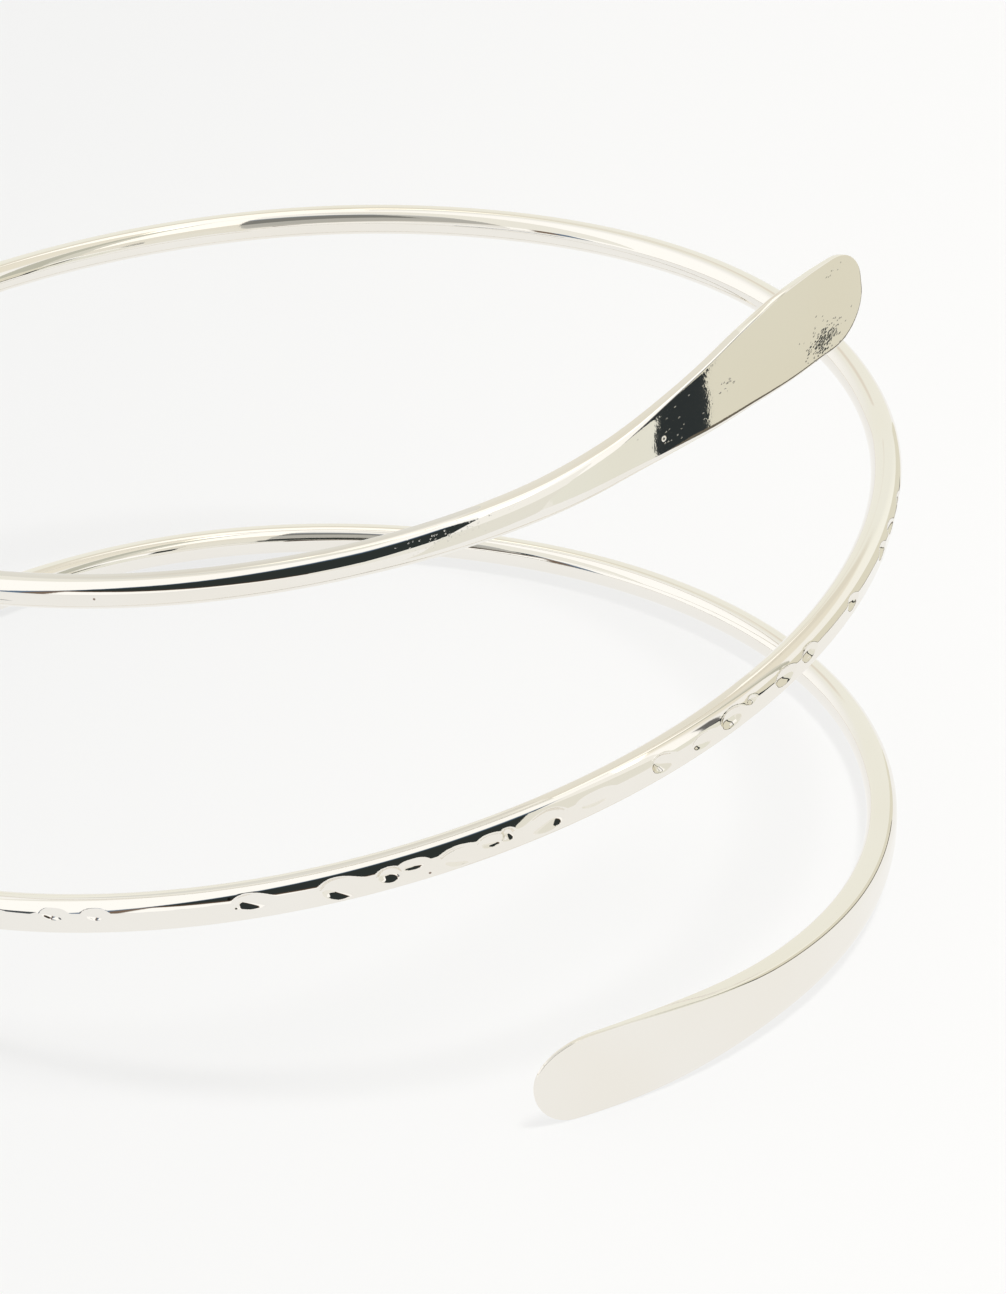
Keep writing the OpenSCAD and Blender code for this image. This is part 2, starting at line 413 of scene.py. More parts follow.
def wire_tree(materials):
    """Sweeps the wire's section along its course, with paddles, hammered face and dimples."""
    tree = bpy.data.node_groups.new("wound_wire", "GeometryNodeTree")
    new = tree.interface.new_socket
    new("Geometry", in_out="OUTPUT", socket_type="NodeSocketGeometry")
    new("Course", in_out="INPUT", socket_type="NodeSocketGeometry")
    sizes = {
        "Wire Diameter": WIRE_D, "Paddle Thickness": PADDLE_T,
        "Tip Thickness": TIP_T, "Tip Thins": TIP_THINS,
        "Top Length": TOP_L, "Top Width": TOP_W, "Top Round": TOP_ROUND,
        "Top Corner": TOP_CORNER, "Top Thinning": TOP_THINNING, "Low Thinning": LOW_THINNING,
        "Low Length": LOW_L, "Low Width": LOW_W, "Low Round": LOW_ROUND,
        "Low Corner": LOW_CORNER, "Hammered Height": HAMMER_H,
        "Hammered Thickness": HAMMER_T, "Hammer Tilt": HAMMER_TILT,
        "Edge Squareness": EDGE_SQUARE, "Coil Radius": COIL_R, "Waver": WAVER,
    }
    values = {}
    for name, size in sizes.items():
        socket = new(name, in_out="INPUT", socket_type="NodeSocketFloat")
        values[socket.identifier] = size
    given = add_node(tree, "NodeGroupInput")
    size = {name: Term(tree, given.outputs[name]) for name in sizes}

    # The swept tube: its points know their ring's middle and their own angle round it
    course = store(tree, Term(tree, given.outputs["Course"]), "centre",
                   Term(tree, add_node(tree, "GeometryNodeInputPosition").outputs[0]),
                   "FLOAT_VECTOR")
    curve = add_node(tree, "GeometryNodeMeshToCurve", {"Mesh": course})
    circle = add_node(tree, "GeometryNodeCurvePrimitiveCircle",
                      {"Resolution": SIDES, "Radius": WIRE_D / 2}, mode="RADIUS")
    index = Term(tree, add_node(tree, "GeometryNodeInputIndex").outputs[0])
    profile = store(tree, Term(tree, circle.outputs["Curve"]), "round",
                    index * (2 * math.pi / SIDES))
    tube = add_node(tree, "GeometryNodeCurveToMesh",
                    {"Curve": Term(tree, curve.outputs[0]), "Profile Curve": profile,
                     "Fill Caps": True})

    turn = named_value(tree, "turn")
    top = named_value(tree, "top_share")
    low = named_value(tree, "low_share")
    angle = named_value(tree, "round")
    angle = angle - CROWD * work(tree, "SINE", angle)
    wire = size["Wire Diameter"]
    flat = most(tree, top, low)
    d_top = turn * CURL
    d_low = (COIL_TURN - turn) * CURL
    hammered = (
        ease(tree, turn * CURL, HAMMER_FROM * CURL, HAMMER_FROM * CURL + HAMMER_FADE)
        * ease(tree, (HAMMER_FROM + HAMMER_TURN - turn) * CURL, 0, HAMMER_FADE)
    )
    height = (
        wire + (size["Top Width"] - wire) * top + (size["Low Width"] - wire) * low
        + (size["Hammered Height"] - wire) * hammered
    )
    from_tip = ease(tree, least(tree, d_top, d_low), 0, size["Tip Thins"])
    beaten_t = size["Tip Thickness"] + (size["Paddle Thickness"] - size["Tip Thickness"]) * from_tip
    unbeaten = (1 - top) ** size["Top Thinning"] * (1 - low) ** size["Low Thinning"]
    thick = beaten_t + (wire - beaten_t) * unbeaten

    def tip_share(distance, length):
        s = least(tree, most(tree, distance / length, TIP_START), 1)
        return (1 - (1 - s) ** TIP_SQUARE) ** (1 / TIP_SQUARE)

    over = tip_share(d_top, size["Top Corner"]) * tip_share(d_low, size["Low Round"])
    under = tip_share(d_top, size["Top Round"]) * tip_share(d_low, size["Low Corner"])

    # The rim of the section: a circle on the wire, squarer on the paddles
    cosine = work(tree, "COSINE", angle)
    sine = work(tree, "SINE", angle)
    power = 2 / (2 + (size["Edge Squareness"] - 2) * flat)
    thinned = work(tree, "SQRT", least(tree, over, under))
    x = (thick / 2 * work(tree, "SIGN", cosine)
         * work(tree, "ABSOLUTE", cosine) ** power * thinned)
    upper = work(tree, "GREATER_THAN", sine, 0)
    y = (height / 2 * work(tree, "SIGN", sine) * work(tree, "ABSOLUTE", sine) ** power
         * (upper * over + (1 - upper) * under))

    # The hammered face: what stands out past it is beaten back, deeper in the dimples
    dimple = dimple_tree()
    depth = 0.0
    for row in all_dimples():
        node = add_node(tree, "GeometryNodeGroup", node_tree=dimple)
        for socket, value in zip(node.inputs, (turn, y, depth) + row):
            feed(tree, value, socket)
        depth = Term(tree, node.outputs[0])
    tilt_cos = work(tree, "COSINE", size["Hammer Tilt"])
    tilt_sin = work(tree, "SINE", size["Hammer Tilt"])
    line = Term(tree, add_node(tree, "ShaderNodeCombineXYZ", {"X": d_top}).outputs[0])
    waver = (noise(tree, line, WAVER_SCALE) - 0.5) * 2 * size["Waver"]
    face = size["Hammered Thickness"] - wire / 2 + waver - depth * hammered
    beaten = hammered * most(tree, x * tilt_cos - y * tilt_sin - face, 0)
    x = x - beaten * tilt_cos
    y = y + beaten * tilt_sin

    # A paddle lies round the coil, so its face bends with it on both sides of its middle
    y = y + named_value(tree, "lift")
    side_step = y * named_value(tree, "slant")
    x = x - side_step * side_step / (size["Coil Radius"] * 2)

    offset = work_vector(
        tree, "ADD",
        work_vector(tree, "SCALE", named_value(tree, "out", "FLOAT_VECTOR"), x),
        work_vector(tree, "SCALE", named_value(tree, "up", "FLOAT_VECTOR"), y))
    place = work_vector(tree, "ADD", named_value(tree, "centre", "FLOAT_VECTOR"), offset)
    body = store(tree, Term(tree, tube.outputs[0]), "along", d_top)
    body = store(tree, body, "across", y)
    body = store(tree, body, "paddle", flat)
    body = store(tree, body, "outward", cosine)
    body = add_node(tree, "GeometryNodeSetPosition", {"Geometry": body, "Position": place})
    body = Term(tree, body.outputs[0])
    for kind in ("GeometryNodeSetShadeSmooth", "GeometryNodeRealizeInstances"):
        node = add_node(tree, kind, {"Geometry": body})
        body = Term(tree, node.outputs[0])
    beaten_flat = work(tree, "GREATER_THAN", named_value(tree, "paddle"), FINISH_FROM)
    regions = (
        ("polished_wire", True),
        ("beaten_paddle", beaten_flat),
        ("hammered_face", work(tree, "GREATER_THAN", hammered, FINISH_FROM)),
    )
    for name, where in regions:
        node = add_node(tree, "GeometryNodeSetMaterial",
                        {"Geometry": body, "Selection": where, "Material": materials[name]})
        body = Term(tree, node.outputs[0])
    feed(tree, body, add_node(tree, "NodeGroupOutput").inputs[0])
    return tree, values


def stand_on_floor(mesh):
    """Moves the wire so that it stands on the floor with the middle of its box at the origin."""
    points = [v.co for v in mesh.vertices]
    low = [min(p[k] for p in points) for k in range(3)]
    high = [max(p[k] for p in points) for k in range(3)]
    mesh.transform(Matrix.Translation((-(low[0] + high[0]) / 2, -(low[1] + high[1]) / 2, -low[2])))


def wound_wire(materials):
    """The whole cuff, as one mesh."""
    tree, values = wire_tree(materials)
    course = bpy.data.objects.new("course", course_mesh())
    bpy.context.scene.collection.objects.link(course)
    modifier = course.modifiers.new("wound_wire", "NODES")
    modifier.node_group = tree
    for identifier, value in values.items():
        modifier[identifier] = value
    depsgraph = bpy.context.evaluated_depsgraph_get()
    mesh = bpy.data.meshes.new_from_object(
        course.evaluated_get(depsgraph), preserve_all_data_layers=True, depsgraph=depsgraph)
    course.modifiers.remove(modifier)
    bpy.data.objects.remove(course)
    if signed_volume(mesh) < 0:
        mesh.flip_normals()
    stand_on_floor(mesh)
    cuff = bpy.data.objects.new("cuff_wire", mesh)
    bpy.context.scene.collection.objects.link(cuff)
    return cuff


def signed_volume(mesh):
    """Six times the volume, negative where the faces point inwards."""
    mesh.calc_loop_triangles()
    total = 0.0
    for triangle in mesh.loop_triangles:
        a, b, c = (mesh.vertices[i].co for i in triangle.vertices)
        total += a.dot(b.cross(c))
    return total


# Finish of the metal

SILVER = (0.885, 0.862, 0.815, 1)
SILVER_WARM = (0.87, 0.838, 0.775, 1)
OXIDE = (0.06, 0.065, 0.065, 1)
RUST = (0.16, 0.09, 0.06, 1)
# Scales of the patterns in the plating, per metre
TONE_SCALE = 45.0
HAZE_SCALE = 400.0
WAVE_SCALE = 90.0
SMALL_WAVE_SCALE = 260.0
SMALL_WAVE_SHARE = 0.35
GRAIN_SCALE = 4200.0
SCRATCH_SCALE_ALONG = 260
SCRATCH_SCALE_ACROSS = 6000
# How much longer than wide a pit is, how much its row slants, where in its cell its edge
# begins and ends, and how rough its floor is
PIT_LENGTHENED = 1.9
PIT_SLANT = 0.15
PIT_EDGE = (0.25, 0.58)
PIT_ROUGHNESS = 0.25
# How narrow a crater's rim is
RIM_NARROWNESS = 22
# Where a spot's edge begins and ends, as shares of its radius, and how dark it is
SPOT_EDGE = (0.7, 1.1)
SPOT_DARKNESS = 0.85


def new_material(name):
    material = bpy.data.materials.new(name)
    material.use_nodes = True
    material.node_tree.nodes.clear()
    return material, material.node_tree


def place_group(tree, group, values):
    node = add_node(tree, "ShaderNodeGroup", node_tree=group)
    for name, value in values.items():
        feed(tree, value, node.inputs[name])
    return {socket.name: Term(tree, socket) for socket in node.outputs}


def shader_group(name, inputs, outputs):
    """An empty shader node group with its sockets: name to kind and default."""
    tree = bpy.data.node_groups.new(name, "ShaderNodeTree")
    for socket_name, (kind, default) in inputs.items():
        socket = tree.interface.new_socket(
            socket_name, in_out="INPUT", socket_type="NodeSocket" + kind)
        if default is not None:
            socket.default_value = default
    for socket_name, kind in outputs.items():
        tree.interface.new_socket(socket_name, in_out="OUTPUT", socket_type="NodeSocket" + kind)
    given = add_node(tree, "NodeGroupInput")
    out = add_node(tree, "NodeGroupOutput")
    return tree, {s.name: Term(tree, s) for s in given.outputs if s.name}, out


def noise(tree, vector, scale, detail=2.0):
    node = add_node(tree, "ShaderNodeTexNoise",
                    {"Vector": vector, "Scale": scale, "Detail": detail})
    return Term(tree, node.outputs[0])


def plating_group():
    """Silver plating: its tone and haze, and the height of what polishing left: faint waves,
    fine grain, and scratches that run along the wire."""
    tree, given, out = shader_group(
        "plating",
        {"Vector": ("Vector", None), "Along": ("Float", 0.0), "Across": ("Float", 0.0),
         "Roughness": ("Float", 0.04), "Wave Height": ("Float", 0.0),
         "Grain Height": ("Float", 0.0), "Scratch Height": ("Float", 0.0)},
        {"Color": "Color", "Roughness": "Float", "Height": "Float"})
    vector = given["Vector"]
    tone = ease(tree, noise(tree, vector, TONE_SCALE), 0.35, 0.65)
    feed(tree, blend_colours(tree, tone, SILVER, SILVER_WARM), out.inputs["Color"])
    haze = noise(tree, vector, HAZE_SCALE, 4.0)
    feed(tree, given["Roughness"] * (0.7 + 0.6 * haze), out.inputs["Roughness"])
    waves = (noise(tree, vector, WAVE_SCALE)
             + SMALL_WAVE_SHARE * noise(tree, vector, SMALL_WAVE_SCALE))
    grain = noise(tree, vector, GRAIN_SCALE, 1.0)
    lines = Term(tree, add_node(tree, "ShaderNodeCombineXYZ", {
        "X": given["Along"] * SCRATCH_SCALE_ALONG,
        "Y": given["Across"] * SCRATCH_SCALE_ACROSS}).outputs[0])
    height = (waves * given["Wave Height"] + grain * given["Grain Height"]
              + noise(tree, lines, 1.0) * given["Scratch Height"])
    feed(tree, height, out.inputs["Height"])
    return tree


def pits_group():
    """A patch of small pits: a mask of them and the height that they take away."""
    tree, given, out = shader_group(
        "pits",
        {"Along": ("Float", 0.0), "Across": ("Float", 0.0), "At Along": ("Float", 0.0),
         "At Across": ("Float", 0.0), "Long": ("Float", 0.002), "Wide": ("Float", 0.002),
         "Pit Size": ("Float", 0.0002), "Crowding": ("Float", 0.6),
         "Pit Depth": ("Float", 0.00003)},
        {"Mask": "Float", "Height": "Float"})
    s = (given["Along"] - given["At Along"]) / given["Long"]
    w = (given["Across"] - given["At Across"]) / given["Wide"]
    near = work(tree, "EXPONENT", -(s * s + w * w))
    spread = add_node(tree, "ShaderNodeCombineXYZ",
                      {"X": given["Along"] / PIT_LENGTHENED,
                       "Y": given["Across"] + given["Along"] * PIT_SLANT})
    cells = add_node(
        tree, "ShaderNodeTexVoronoi",
        {"Vector": work_vector(tree, "SCALE", Term(tree, spread.outputs[0]), 1 / given["Pit Size"]),
         "Scale": 1.0},
        voronoi_dimensions="2D")
    luck = add_node(tree, "ShaderNodeSeparateColor", {"Color": Term(tree, cells.outputs["Color"])})
    chosen = work(tree, "LESS_THAN", Term(tree, luck.outputs[0]), near * given["Crowding"])
    pit = chosen * (1 - ease(tree, Term(tree, cells.outputs["Distance"]), *PIT_EDGE))
    feed(tree, pit, out.inputs["Mask"])
    feed(tree, pit * given["Pit Depth"] * -1, out.inputs["Height"])
    return tree


def crater_group():
    """A small crater with a raised rim."""
    tree, given, out = shader_group(
        "crater",
        {"Along": ("Float", 0.0), "Across": ("Float", 0.0), "At Along": ("Float", 0.0),
         "At Across": ("Float", 0.0), "Radius": ("Float", 0.0002),
         "Rim Height": ("Float", 0.00002)},
        {"Height": "Float"})
    a = (given["Along"] - given["At Along"]) / given["Radius"]
    b = (given["Across"] - given["At Across"]) / given["Radius"]
    from_rim = work(tree, "SQRT", a * a + b * b) - 1
    rim = work(tree, "EXPONENT", from_rim * from_rim * -RIM_NARROWNESS)
    feed(tree, rim * given["Rim Height"], out.inputs["Height"])
    return tree


def finish_silver(groups, name, plating_values, patches=(), craters=(), spots=()):
    """The metal's material: the plating, and on its outer side patches of pits, craters and
    dark spots. A patch is its place along and across the wire, length, width and pit size in
    mm, the share of pits that are there, their depth in mm, and how dark they are. A crater
    or a spot is its place and radius."""
    material, tree = new_material(name)
    vector = Term(tree, add_node(tree, "ShaderNodeTexCoord").outputs["Object"])
    along, across = (
        Term(tree, add_node(tree, "ShaderNodeAttribute", attribute_name=attribute).outputs["Fac"])
        for attribute in ("along", "across"))
    place = {"Along": along, "Across": across}
    outward = add_node(tree, "ShaderNodeAttribute", attribute_name="outward").outputs["Fac"]
    outside = work(tree, "GREATER_THAN", Term(tree, outward), 0)
    plating = place_group(tree, groups["plating"], dict(plating_values, Vector=vector, **place))
    colour, height, roughness = plating["Color"], plating["Height"], plating["Roughness"]
    for at_along, at_across, long, wide, size, crowding, depth, darkness in patches:
        pit = place_group(tree, groups["pits"], {
            **place, "At Along": at_along * MM, "At Across": at_across * MM,
            "Long": long * MM, "Wide": wide * MM, "Pit Size": size * MM,
            "Crowding": crowding, "Pit Depth": depth * MM})
        mask = pit["Mask"] * outside
        colour = blend_colours(tree, mask * darkness, colour, OXIDE)
        roughness = roughness + mask * (PIT_ROUGHNESS * darkness)
        height = height + pit["Height"] * outside
    for at_along, at_across, radius in craters:
        crater = place_group(tree, groups["crater"], {
            **place, "At Along": at_along * MM, "At Across": at_across * MM,
            "Radius": radius * MM})
        height = height + crater["Height"] * outside
    for at_along, at_across, radius in spots:
        a = (along - at_along * MM) / (radius * MM)
        b = (across - at_across * MM) / (radius * MM)
        spot = 1 - ease(tree, work(tree, "SQRT", a * a + b * b), *SPOT_EDGE)
        colour = blend_colours(tree, spot * outside * SPOT_DARKNESS, colour, RUST)
    bump = add_node(tree, "ShaderNodeBump", {"Strength": 1.0, "Distance": 1.0, "Height": height})
    shader = add_node(tree, "ShaderNodeBsdfPrincipled", {
        "Base Color": colour, "Metallic": 1.0, "Roughness": roughness,
        "Normal": Term(tree, bump.outputs[0])})
    out = add_node(tree, "ShaderNodeOutputMaterial")
    tree.links.new(shader.outputs[0], out.inputs["Surface"])
    return material


# Specks in the plating where the top paddle's neck leaves the wire
NECK_SPECKS = (44.0, 0.45, 3.6, 0.4, 0.09, 0.22, 0.006, 0.0)


def polished_wire(groups):
    """Plain wire: a mirror finish with fine scratches along it and a few specks."""
    return finish_silver(
        groups, "polished_wire",
        {"Roughness": 0.035, "Wave Height": 0.010 * MM, "Grain Height": 0.0005 * MM,
         "Scratch Height": 0.0010 * MM},
        patches=[NECK_SPECKS],
        craters=[(465.1, 0.82, 0.17)],
        spots=[(69.7, 0.0, 0.10)])


def beaten_paddle(groups):
    """The paddles: flat mirror faces with pitted patches in the plating."""
    return finish_silver(
        groups, "beaten_paddle",
        {"Roughness": 0.03, "Wave Height": 0.006 * MM, "Grain Height": 0.0010 * MM,
         "Scratch Height": 0.0002 * MM},
        patches=[
            (5.75, -1.55, 1.05, 0.6, 0.17, 1.6, 0.006, 1.0),
            (5.9, -1.55, 1.7, 1.15, 0.13, 0.75, 0.005, 0.7),
            (16.5, 0.65, 0.7, 0.4, 0.16, 0.45, 0.006, 0.35),
            (3.6, 3.2, 0.9, 0.22, 0.13, 0.4, 0.005, 0.4),
            (21.5, -0.6, 3.4, 2.2, 0.09, 0.014, 0.003, 0.0),
            NECK_SPECKS],
        craters=[(23.6, -0.3, 0.17)])


def hammered_face(groups):
    """The hammered stretch: bright, with the soft waves of hammer blows."""
    return finish_silver(
        groups, "hammered_face",
        {"Roughness": 0.035, "Wave Height": 0.020 * MM, "Grain Height": 0.0003 * MM,
         "Scratch Height": 0.0004 * MM},
        spots=[(339.7, 0.82, 0.13), (325.5, -0.75, 0.11)])


# Studio

# Light that the floor gets from all round, and the plain backdrop that the camera sees
SKY_LIGHT = 0.9
BACKDROP = 0.95

# The floor: half its side, its painted shading, a darker tone at the left and a lighter one at the
# right, where the one turns into the other, and a painted glow, seen only where the metal mirrors
# it, for the light that bright metal throws on it
FLOOR_HALF = 2.0
FLOOR_SHADED_LEFT = (0.868, 0.868, 0.862, 1)
FLOOR_LIT_RIGHT = (0.938, 0.934, 0.922, 1)
FLOOR_SHADE_BLEND = (-0.08, 0.07)
FLOOR_PAINTED_GLOW = (0.97, 0.967, 0.955, 1)
FLOOR_PAINTED_GLOW_SHARE = 0.65

# Tints and tones of the room that the metal mirrors
ROOM_TINT = (1.0, 0.995, 0.98, 1)
REAR_TINT = (1.0, 0.995, 0.91, 1)
REAR_SHADOW_TINT = (1.0, 0.93, 0.82, 1)
CREAM_WALL_TINT = (1.0, 0.955, 0.83, 1)
TUBE_LEVEL = 1.7
DOOR_BLACK = (0.03, 0.037, 0.036, 1)
DOOR_BROWN = (0.16, 0.10, 0.06, 1)
DOOR_BLUE = (0.09, 0.16, 0.26, 1)

# Cards in metres, with tones that may be over 1 where they glow. The side cards stand at
# SIDE, and shift along it with height as SIDE_BENDS says: height, shift. Name, where each
# starts and ends, and tone
SIDE = 0.112
SIDE_BENDS = ((0, 0.0078), (0.0162, 0), (0.0193, -0.0008), (0.06, -0.0289))
SIDE_CARDS = (
    ("neck_far_card", -0.40, -0.075, (0.93, 0.92, 0.87, 1)),
    ("neck_card", -0.075, -0.0289, (0.87, 0.87, 0.79, 1)),
    ("black_card", -0.0289, -0.0204, (0.03, 0.036, 0.038, 1)),
    ("cream_card", -0.0204, 0.20, (0.80, 0.775, 0.65, 1)),
)
# A low dark card before them, a painted shadow that the paddle's lower edge mirrors as a fine line:
# its place, ends, foot, top and tone
FOOT_SHADOW_CARD_AT = SIDE - 0.001
FOOT_SHADOW_CARD_Y = (-0.0204, 0.12)
FOOT_SHADOW_CARD_Z = (0.001, 0.0105)
FOOT_SHADOW_CARD_TONE = (0.16, 0.14, 0.11, 1)
# Cards inside the coil, at INSIDE: name, left, right, foot, top, tone and cover
INSIDE = -0.020
HIGHLIGHT_TONE = (1.25, 1.22, 1.15, 1)
VEIL_TONE = (0.75, 0.74, 0.70, 1)
INSIDE_CARDS = (
    ("bright_card", 0.0115, 0.060, 0.097, 0.6, HIGHLIGHT_TONE, 1.0),
    ("soft_card", 0.0115, 0.060, 0.057, 0.097, (0.86, 0.83, 0.74, 1), 1.0),
    ("soft_low_card", 0.0115, 0.033, 0.026, 0.057, (0.87, 0.85, 0.77, 1), 1.0),
    ("grey_card", 0.060, 0.086, 0.060, 0.6, (0.74, 0.73, 0.65, 1), 1.0),
    ("dark_card", 0.086, 0.20, 0.057, 0.6, (0.56, 0.56, 0.48, 1), 1.0),
    ("left_card", -0.10, -0.034, 0.052, 0.6, (0.93, 0.92, 0.86, 1), 1.0),
    ("low_veil", -0.021, 0.0115, 0.035, 0.078, VEIL_TONE, 0.65),
    ("high_veil", -0.021, 0.0115, 0.078, 0.6, VEIL_TONE, 0.28),
    ("left_veil", -0.034, -0.021, 0.035, 0.6, VEIL_TONE, 0.65),
)
# Cards in front of the hammered stretch, at BEFORE: left, right, foot and top. The one over
# the front card has a left edge that slants to the right
BEFORE = -0.052
FRONT_CARD = (0.0255, 0.060, 0.022, 0.047)
FRONT_TONE = (0.86, 0.85, 0.78, 1)
FRONT_OVER_LEFT = (0.0265, 0.036)
FRONT_OVER_TOP = 0.080
FRONT_OVER_TONE = (1.0, 0.99, 0.95, 1)
LEFT_STRIP = (-0.085, -0.0345, 0.0108, 0.0142)
STRIP_TONE = (0.07, 0.08, 0.09, 1)
# A level card over the back of the coil: left, right, front, back and height
OVER_CARD = (-0.045, 0.03, 0.046, 0.20, 0.3)


def pale_floor():
    """A large pale floor, with painted shading that is darker at the left, and a painted glow that
    only reflections see.
    """
    material, tree = new_material("pale_floor")
    place = Term(tree, add_node(tree, "ShaderNodeTexCoord").outputs["Object"])
    x = Term(tree, add_node(tree, "ShaderNodeSeparateXYZ", {"Vector": place}).outputs["X"])
    # Painted shading: the floor is darker at the left and lighter at the right
    tone = blend_colours(tree, ease(tree, x, *FLOOR_SHADE_BLEND), FLOOR_SHADED_LEFT, FLOOR_LIT_RIGHT)
    matt = add_node(tree, "ShaderNodeBsdfDiffuse", {"Color": tone})
    # Painted glow: the metal's mirror sees the floor partly as a glowing sheet, lighter than its
    # shaded self
    glow = add_node(tree, "ShaderNodeEmission", {"Color": FLOOR_PAINTED_GLOW, "Strength": 1.0})
    glossy = Term(tree, add_node(tree, "ShaderNodeLightPath").outputs["Is Glossy Ray"])
    show_mixed(tree, glossy * FLOOR_PAINTED_GLOW_SHARE, matt, glow)
    half = FLOOR_HALF
    corners = [(-half, -half, 0), (half, -half, 0), (half, half, 0), (-half, half, 0)]
    floor = flat_sheet("floor", corners, material)


def show_mixed(tree, share, first, second):
    """Ends a material in two shaders: the first where share is 0, the second where it is 1."""
    mixed = add_node(tree, "ShaderNodeMixShader", {"Fac": share})
    tree.links.new(first.outputs[0], mixed.inputs[1])
    tree.links.new(second.outputs[0], mixed.inputs[2])
    out = add_node(tree, "ShaderNodeOutputMaterial")
    tree.links.new(mixed.outputs[0], out.inputs["Surface"])


def flat_sheet(name, corners, material):
    """A flat piece of the set with four corners."""
    mesh = bpy.data.meshes.new(name)
    mesh.from_pydata(corners, [], [(0, 1, 2, 3)])
    mesh.materials.append(material)
    sheet = bpy.data.objects.new(name, mesh)
    bpy.context.scene.collection.objects.link(sheet)
    return sheet


def studio_world():
    """What stands round the set, by its direction: a bright room with a thin pole at the
    right, a cream wall behind, a tube light overhead, and a dark doorway in front. Degrees
    go round from the front, with the right at 90, and up from the floor."""
    world = bpy.data.worlds.new("studio")
    bpy.context.scene.world = world
    world.use_nodes = True
    tree = world.node_tree
    tree.nodes.clear()
    ray = Term(tree, add_node(tree, "ShaderNodeTexCoord").outputs["Generated"])
    parts = add_node(tree, "ShaderNodeSeparateXYZ", {"Vector": ray}).outputs
    x, y, z = (Term(tree, socket) for socket in parts)
    az = work(tree, "ARCTAN2", x, -y) * (180 / math.pi)
    el = work(tree, "ARCSINE", z) * (180 / math.pi)

    # The room: bright on the left, and a thin dark pole at the right
    level = (0.94 + 0.20 * ease(tree, az, -140, -100) - 0.12 * ease(tree, az, 66, 78)
             - 0.08 * ease(tree, az, 138, 158))
    pole = between(tree, az, (69, 70.5), (74, 76)) * (1 - ease(tree, el, 42, 50))
    level = level * (1 - 0.85 * pole)
    # Behind the cuff, a cream wall with a faint tan shadow on it
    rear = ease(tree, az, 80, 150) + 1 - ease(tree, az, -150, -120)
    tint = blend_colours(tree, rear, ROOM_TINT, REAR_TINT)
    shadow = (between(tree, az, (-168, -160), (-155, -146))
              * between(tree, el, (34, 37), (43, 46)))
    level = level * (1 - 0.12 * shadow)
    tint = blend_colours(tree, shadow, tint, REAR_SHADOW_TINT)

    # A tube light over the cuff, from the back left to the front right, and the cream
    # wall beyond it. u and v are places on a flat ceiling, to the right and to the front
    up = most(tree, z, 0.02)
    u = x / up
    v = -y / up
    from_tube = u - (0.18 + 0.88 * v)
    high = ease(tree, el, 44, 50)
    beyond = ease(tree, from_tube, -0.02, 0.02) * high * (1 - ease(tree, v, 0, 0.3))
    level = level * (1 - 0.12 * beyond)
    tint = blend_colours(tree, beyond, tint, CREAM_WALL_TINT)
    tube = ((1 - ease(tree, work(tree, "ABSOLUTE", from_tube), 0.04, 0.06))
            * between(tree, v, (-0.6, -0.5), (0.62, 0.68)))
    level = level + tube * (TUBE_LEVEL - level)
    room = work_vector(tree, "SCALE", tint, level)

    # The dark doorway in front: its foot slopes down to the right, its top is an arch, and
    # its rims are brown below and blue above
    reach = most(tree, least(tree, (20 - az) / 67, 1), 0)
    arch = 68 * (1 - reach ** 2.2) ** (1 / 2.2)
    foot = most(tree, 5 - 0.3 * az, -5)
    doorway = (between(tree, az, (-50, -46), (45.5, 47.5))
               * between(tree, el, (foot - 1, foot + 1), (arch - 3, arch + 3)))
    # Its left end is a slanting corner
    corner = 120 + 2.2 * az
    corner = (between(tree, az, (-57, -53), (-42, -40))
              * (1 - ease(tree, el, corner - 3, corner + 2)))
    doorway = most(tree, doorway, corner * 0.95)
    inside = blend_colours(tree, 1 - ease(tree, el, foot + 1, foot + 6), DOOR_BLACK, DOOR_BROWN)
    inside = blend_colours(tree, ease(tree, el, arch - 10, arch), inside, DOOR_BLUE)
    mirrored = blend_colours(tree, doorway, room, inside)

    # The floor's own light is even, and the camera sees a plain backdrop
    path = add_node(tree, "ShaderNodeLightPath").outputs
    even = (SKY_LIGHT, SKY_LIGHT, SKY_LIGHT, 1)
    plain = (BACKDROP, BACKDROP, BACKDROP, 1)
    seen = blend_colours(tree, Term(tree, path["Is Diffuse Ray"]), mirrored, even)
    seen = blend_colours(tree, Term(tree, path["Is Camera Ray"]), seen, plain)
    background = add_node(tree, "ShaderNodeBackground", {"Color": seen, "Strength": 1.0})
    out = add_node(tree, "ShaderNodeOutputWorld")
    tree.links.new(background.outputs[0], out.inputs["Surface"])


def soft_light(name, towards, distance, size, power):
    """A soft area light that lies in a direction from the cuff and shines on it."""
    light = bpy.data.lights.new(name, "AREA")
    light.shape = "DISK"
    light.size = size
    light.energy = power
    lamp = bpy.data.objects.new(name, light)
    bpy.context.scene.collection.objects.link(lamp)
    direction = Vector(towards).normalized()
    lamp.matrix_world = (Matrix.Translation(direction * distance)
                         @ direction.to_track_quat("Z", "Y").to_matrix().to_4x4())
    lamp.visible_glossy = False
    lamp.visible_camera = False


def card(name, corners, colour, cover=1.0):
    """A glowing card beside the set that only the metal's mirror sees: a painted reflection that
    lights nothing. A cover under 1 makes it a thin veil."""
    material, tree = new_material(name)
    glow = add_node(tree, "ShaderNodeEmission", {"Color": colour, "Strength": 1.0})
    clear = add_node(tree, "ShaderNodeBsdfTransparent")
    show_mixed(tree, cover, clear, glow)
    piece = flat_sheet(name, corners, material)
    piece.visible_camera = False
    piece.visible_diffuse = False
    piece.visible_shadow = False


